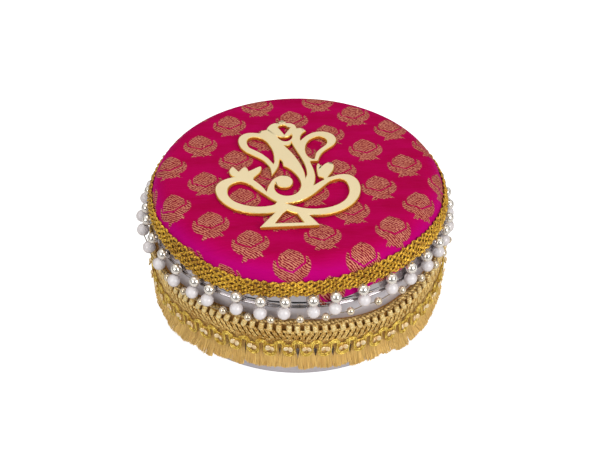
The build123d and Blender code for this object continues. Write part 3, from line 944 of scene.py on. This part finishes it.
def make_woven_braid(material):
    """Plait of twin thin cords, whose slanted runs lie in front."""
    plies = 3
    waves = scallop_count
    strand = 0.4 * mm
    spread = 0.46 * mm
    rise = 0.45 * mm
    forward = 0.25 * mm
    overlap = 0.5 * mm
    reach = (woven_top - woven_bottom) / 2 - strand + overlap
    middle = (woven_top + woven_bottom) / 2
    dice = Random(8)
    jitter_count = 97
    jitter = [dice.uniform(-0.35, 0.35) for _ in range(jitter_count)]
    peak = 0.93
    routes = []
    for ply in range(plies):
        offset = full_turn * ply / plies
        for twin in (-1, 1):

            def place(angle, phase, offset=offset, twin=twin, ply=ply):
                side = 1 if from_front(angle) > 0 else -1
                near = min(1.0, abs(from_front(angle)) / 6)
                around = angle + twin * spread / cup_radius
                swing = phase + offset + jitter[int(phase / full_turn * 2 + ply) % jitter_count] * 0.5
                sag = (humps(angle, barrel_humps) + humps(angle, lower_trim_humps)) / 2
                height = middle + reach * asin(peak * sin(swing)) / asin(peak) + sag
                lift = rise * cos(swing) * side * near - 0.15 * mm * sin(2 * swing)
                return on_ring(around, woven_radius - strand - rise + forward + lift, height)

            routes.append(ring_route(waves, 16, place))
    mesh = strands("woven_plait", routes, strand)
    finished("woven_plait", mesh, material, "box", "woven_braid")


bend_radius = 2.45 * mm
bend_steps = 11


def scallop_outline(shift):
    """One scallop as (across, up) from the middle of its bend, moved out by shift."""
    half_pitch = pi * scallop_radius / scallop_count
    bend = bend_radius + shift
    cord = 0.78 * mm
    bend_level = scallop_bottom + bend_radius + cord - 1.6 * mm
    arch_level = scallop_top - cord - half_pitch + 2.0 * mm
    middle = (bend_level + arch_level) / 2
    run = bend - 0.05 * mm
    points = arc_points((0, bend_level), bend, -pi * 1.08, pi * 0.08, bend_steps)
    points.append((run, middle))
    points += arc_points((half_pitch, arch_level), half_pitch - bend, pi, 0, 7)
    points.append((2 * half_pitch - run, middle))
    return points


def make_scallops(material):
    """Twin cords in scallops, with small loops of the plait's cord inside each bend."""
    thin = 0.42 * mm
    twin_gap = 0.44 * mm
    twin_step = 0.12 * mm
    loop_height = 1.25 * mm
    loop_depth = 0.3 * mm
    loops_behind = 0.35 * mm
    out = scallop_radius - 0.7 * mm
    pitch = full_turn / scallop_count
    dice = Random(21)
    leans = [dice.uniform(-0.12, 0.12) for _ in range(scallop_count)]
    swells = [dice.uniform(0.9, 1.08) for _ in range(scallop_count)]
    routes = []
    for side in (-1, 1):
        outline = scallop_outline(side * twin_gap)
        points = []
        for index in range(scallop_count):
            middle = pitch * (index + 0.5)
            for across, up in outline:
                height = up + humps(middle + across / scallop_radius, lower_trim_humps)
                along = across * swells[index] if across < outline[bend_steps - 1][0] else across
                along += leans[index] * (up - sequin_height)
                points.append(on_ring(middle + along / scallop_radius, out + twin_step * side, height))
        routes.append(points)
    loop_middle = scallop_top - 2.9 * mm
    for lift, swing in ((0.0, 1.35 * mm), (-0.75 * mm, 0.75 * mm)):

        def place(angle, phase, lift=lift, swing=swing):
            around = angle + swing / scallop_radius * sin(2 * phase)
            height = loop_middle + lift + loop_height * cos(phase) + humps(angle, lower_trim_humps)
            return on_ring(around, out - loops_behind + loop_depth * cos(phase), height)

        routes.append(ring_route(scallop_count, 12, place))
    mesh = strands("scallop_cords", routes, thin)
    finished("scallop_cords", mesh, material, "box", "scallop_cord")


def make_sequins():
    """Two small dished sequins that overlap on each bend of the scallops."""
    radius = 1.3 * mm
    half = 0.3 * mm
    section = [(0, half * 0.4), (radius * 0.5, half * 0.7), (radius * 0.85, half), (radius, half * 0.3)]
    section += [(radius, -half * 0.5), (radius * 0.7, -half), (0, -half)]
    out = sequin_ring_radius - half
    overlap = 0.12 * mm
    raised = 1.0
    dice = Random(11)
    places = []
    for index in range(scallop_count):
        for side in (-1, 1):
            angle = full_turn * (index + 0.5) / scallop_count
            around = angle + side * dice.uniform(0.8, 1.15) * mm / cup_radius
            lift = (raised + dice.uniform(-0.25, 0.25)) * mm
            height = sequin_height + lift + humps(angle, lower_trim_humps)
            facing = pi / 2 + radians(dice.uniform(-24, 8))
            place = turned_to(around, out + side * overlap, height, facing)
            places.append(place @ Matrix.Rotation(radians(side * dice.uniform(10, 32)), 4, "X"))
    shape = copied("sequin", spun(section, 10), places)
    finished("sequin_pairs", shape, sequin_foil(), "box", "sequins")


def make_fringe():
    """Fine strands in tufts that spread as they hang and stand off the box at their ends."""
    per_tuft = 30
    layers = 3
    layer_step = 0.38 * mm
    hair = 0.18 * mm
    widening = 1.06
    under_scallops = 2.4 * mm
    dice = Random(5)
    neck = scallop_bottom + 1.2 * mm
    parted = 6.5 * mm
    out_top = tape_radius + 0.55 * mm
    out_low = fringe_radius - 0.3 * mm
    half_step = pi / scallop_count
    widest_gap = 0.95 * mm / cup_radius
    gaps = [dice.choice((0.1, 0.1, 0.5, 0.9)) for _ in range(scallop_count + 1)]
    gaps[-1] = gaps[0]
    front_tuft = scallop_count * 3 // 4
    for beside, gap in enumerate((0.5, 0.9, 1.1, 1.0, 1.1, 0.2), start=-1):
        gaps[front_tuft + beside] = gap
    shorts = [dice.uniform(-1.3, 1.3) * mm for _ in range(scallop_count)]
    skews = [dice.uniform(-1.1, 1.1) * mm for _ in range(scallop_count)]
    routes = []
    for tuft in range(scallop_count):
        middle = full_turn * (tuft + 0.5) / scallop_count
        twist = dice.uniform(-0.7, 0.7) * mm / cup_radius
        sag = humps(middle, lower_trim_humps)
        out_end = out_low + humps(middle, flare_humps) + dice.uniform(-0.2, 0.4) * mm
        for layer in range(layers):
            depth = layer * layer_step
            for index in range(per_tuft):
                share = 2 * (index + dice.uniform(0.1, 0.9)) / per_tuft - 1
                gap_here = widest_gap * (gaps[tuft] if share < 0 else gaps[tuft + 1])
                tip = fringe_bottom + shorts[tuft] + abs(share) ** 3 * 1.0 * mm + sag
                tip += dice.uniform(-0.35, 0.7) * mm + share * skews[tuft]
                narrow = middle + share * (half_step - gap_here)
                wide = middle + share * half_step * widening + twist
                whole = middle + share * half_step
                start = on_ring(whole, out_top - depth * 0.5, fringe_top + sag)
                spread_out = out_top + 0.15 * mm - depth * 0.75
                spread = on_ring(whole, spread_out, neck + under_scallops + sag)
                hold = on_ring(narrow, out_top + 0.35 * mm - depth, neck + sag)
                meet = on_ring(wide - twist * 0.5, out_top + 1.1 * mm - depth, neck + sag - parted)
                stray = dice.uniform(-0.25, 0.25) * mm / cup_radius
                end = on_ring(wide + stray, out_end - depth + dice.uniform(-0.2, 0.25) * mm, tip)
                low = meet.lerp(end, 0.55)
                low += on_ring(wide, dice.uniform(-0.2, 0.12) * mm, 0)
                routes.append([start, *([spread] if layer == 0 else []), hold, meet, low, end])
    mesh = strands("fringe_strands", routes, hair, sides=0, closed=False)
    finished("fringe_strands", mesh, silky_fringe(), "box", "fringe_tufts")


# The steel and the figure

steel_steps = 256


def make_cup():
    """The steel cup: one wall spun with its recessed base, rounded corner and rolled rim."""
    wall = 0.6 * mm
    corner = 4 * mm
    recess_radius = 60 * mm
    recess = 0.8 * mm
    slope = 0.4 * mm
    roll = 0.9 * mm
    centre = (cup_radius - corner, corner)
    section = [(0, recess), (recess_radius - slope, recess)]
    section += [(recess_radius, recess * 0.5), (recess_radius + slope, 0)]
    section += arc_points(centre, corner, -pi / 2, 0, 12)
    section += [(cup_radius, cup_height * share) for share in (0.3, 0.5, 0.7, 0.9)]
    section += arc_points((cup_radius - roll, cup_height - roll), roll, 0, 1.5 * pi, 14)
    section += [(cup_radius - wall, cup_height - 2.4 * roll), (cup_radius - wall, cup_height * 0.5)]
    section += arc_points(centre, corner - wall, 0, -pi / 2, 10)
    section += [(recess_radius, recess + wall), (0, recess + wall)]
    steel = polished_steel("satin_cup_steel", (0.55, 0.51, 0.54), (0.70, 0.66, 0.70), 0.26, 0.5)
    finished("polished_cup", spun(section, steel_steps), steel, "box", "steel_cup")


def make_lid():
    """The steel lid: one wall spun with its rounded corner, its swage and its rolled hem."""
    wall = 0.5 * mm
    roll = 0.55 * mm
    corner = 5 * mm
    skirt = lid_radius - 2 * roll
    outer = skirt + wall
    centre = (outer - corner, lid_top - corner)
    swage_bottom = lid_hem + 2 * roll + 0.2 * mm
    swage_height = 2.6 * mm
    swage_depth = 0.35 * mm
    swage_steps = 8
    above_swage = lid_hem + 6 * mm
    section = [(0, lid_top), (outer - corner, lid_top)]
    section += arc_points(centre, corner, pi / 2, 0, 12)[1:]
    section += [(outer, above_swage)]
    for step in range(swage_steps + 1):
        share = step / swage_steps
        height = swage_bottom + swage_height * (1 - share)
        section.append((outer + swage_depth * sin(pi * share), height))
    section += [(outer, lid_hem + 2 * roll)]
    section += arc_points((skirt + roll, lid_hem + roll), roll, pi / 2, -pi, 14)
    section += [(skirt, above_swage)]
    section += arc_points(centre, corner - wall, 0, pi / 2, 12)
    section += [(0, lid_top - wall)]
    steel = polished_steel("polished_lid_steel", (0.48, 0.44, 0.45), (0.66, 0.62, 0.63), 0.05, 1.0)
    finished("polished_lid", spun(section, steel_steps), steel, "lid", "steel_lid")


def dress_node(node, material):
    """Gives a CAD node that keeps its own shape its finish."""
    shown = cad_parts[node]
    shown.data.materials.clear()
    shown.data.materials.append(material)
    return shown


def polish_figure_edges(figure):
    """A fine bevel round the figure's cut edges."""
    weld = figure.modifiers.new("weld", "WELD")
    weld.merge_threshold = 0.001 * mm
    bevel = figure.modifiers.new("polished_edges", "BEVEL")
    bevel.width = 0.32 * mm
    bevel.segments = 1
    bevel.limit_method = "ANGLE"
    bevel.angle_limit = radians(50)
    bevel.use_clamp_overlap = False


make_cup()
make_lid()
make_cloth()
make_pad()
make_edge_braid(gold_thread("gold_braid_thread", (0.25, 0.085, 0.002), (1.0, 0.62, 0.06), 0.5, 0.22))
make_braid_painted_shade()
make_beads()
make_bead_thread()
make_header_cord(gold_thread("gold_header_thread", (0.20, 0.09, 0.010), (0.92, 0.64, 0.24), 0.4, 0.28))
make_barrels(gold_thread("gold_barrel_thread", (0.64, 0.35, 0.06), (1.0, 0.87, 0.45), 0.25, 0.25, 1))
make_woven_braid(gold_thread("gold_trim_thread", (0.42, 0.20, 0.022), (1.0, 0.74, 0.27), 0.35, 0.28))
make_scallops(gold_thread("gold_scallop_thread", (0.46, 0.25, 0.014), (1.0, 0.76, 0.16), 0.45, 0.24))
make_sequins()
make_fringe()
make_tape()
polish_figure_edges(dress_node("elephant_figure", mirror_gold()))

# Floor, lights and camera

scene = bpy.context.scene


def pale_floor():
    """A floor that shows as white, and keeps the soft shadow under the box."""
    finish = new_finish("pale_floor")
    seen = finish.node("LightPath", output="Is Camera Ray")
    inputs = {"Base Color": (0.62, 0.62, 0.62), "Roughness": 1.0}
    matte = finish.node("BsdfPrincipled", inputs=inputs)
    glow = finish.node("Emission", inputs={"Color": (1, 1, 1), "Strength": seen * 0.8})
    both = finish.node("AddShader", inputs={0: matte, 1: glow})
    finish.node("OutputMaterial", inputs={"Surface": both})
    return finish.owner


def make_floor():
    """The floor, which reaches back from just in front of the box."""
    near_edge = -0.21
    half_side = 1.5
    shape = bmesh.new()
    bmesh.ops.create_grid(shape, x_segments=1, y_segments=1, size=half_side)
    bmesh.ops.translate(shape, verts=shape.verts, vec=(0, near_edge + half_side, 0))
    mesh = mesh_of("floor", shape)
    mesh.materials.append(pale_floor())
    floor = bpy.data.objects.new("floor", mesh)
    scene.collection.objects.link(floor)
    floor.location.z = -0.05 * mm


def make_world():
    """White all round, with a dim gap in front and a dim band low down that only glossy faces see."""
    world = bpy.data.worlds.new("studio")
    scene.world = world
    finish = Finish(world)
    x, y, z = finish.parts(finish.place("Generated"))
    camera_ray = finish.node("LightPath", output="Is Camera Ray")
    glossy_ray = finish.node("LightPath", output="Is Glossy Ray")
    flat = (x * x + y * y).root() + 0.0001
    slope = z / flat
    ahead = -y / flat
    sideways = (x / flat).size()
    wedge = (1 - sideways.ramp(0.26, 0.42)) * ahead.ramp(0.0, 0.1)
    gap = wedge * (1 - slope.ramp(1.6, 2.4))
    low = 1 - slope.ramp(0.25, 0.5)
    dim = (gap * 0.97).most(low * 0.95)
    reflected = 0.74 * (1 - dim)
    lit = 0.60
    strength = camera_ray + (1 - camera_ray) * (glossy_ray * reflected + (1 - glossy_ray) * lit)
    shader = finish.node("Background", inputs={"Color": (1, 1, 1), "Strength": strength})
    finish.node("OutputWorld", inputs={"Surface": shader})


def soft_lamp(name, place, size, power):
    """A soft area lamp that points at the middle of the box."""
    lamp = bpy.data.lights.new(name, "AREA")
    lamp.shape = "RECTANGLE"
    lamp.size = size[0]
    lamp.size_y = size[1]
    lamp.energy = power
    shown = bpy.data.objects.new(name, lamp)
    scene.collection.objects.link(shown)
    shown.location = place
    aim = Vector((0, 0, 40 * mm)) - Vector(place)
    shown.rotation_euler = aim.to_track_quat("-Z", "Y").to_euler()


def make_camera():
    """The photograph's view: its height and distance, and its small shift of frame."""
    picture_width = 600
    focal_pixels = 1006
    aim_pixel = (297.7, 182.9)
    picture_centre = (300, 225)
    elevation = radians(37.2)
    distance = 505 * mm
    aim = Vector((0, 0, lid_top))
    lens = bpy.data.cameras.new("camera")
    lens.sensor_width = 36
    lens.lens = lens.sensor_width * focal_pixels / picture_width
    lens.shift_x = (picture_centre[0] - aim_pixel[0]) / picture_width
    lens.shift_y = (aim_pixel[1] - picture_centre[1]) / picture_width
    lens.clip_start = 0.01
    camera = bpy.data.objects.new("camera", lens)
    scene.collection.objects.link(camera)
    camera.location = aim + Vector((0, -cos(elevation), sin(elevation))) * distance
    camera.rotation_euler = (pi / 2 - elevation, 0, 0)
    scene.camera = camera


make_floor()
make_world()
side_lamp_size = (0.45, 0.45)
soft_lamp("left_box", (-0.55, -0.62, 0.42), side_lamp_size, 2.1)
soft_lamp("right_box", (0.55, -0.62, 0.42), side_lamp_size, 3.8)
soft_lamp("top_box", (0.0, 0.25, 0.9), (0.7, 0.5), 1.6)
make_camera()
scene.view_settings.view_transform = "Standard"
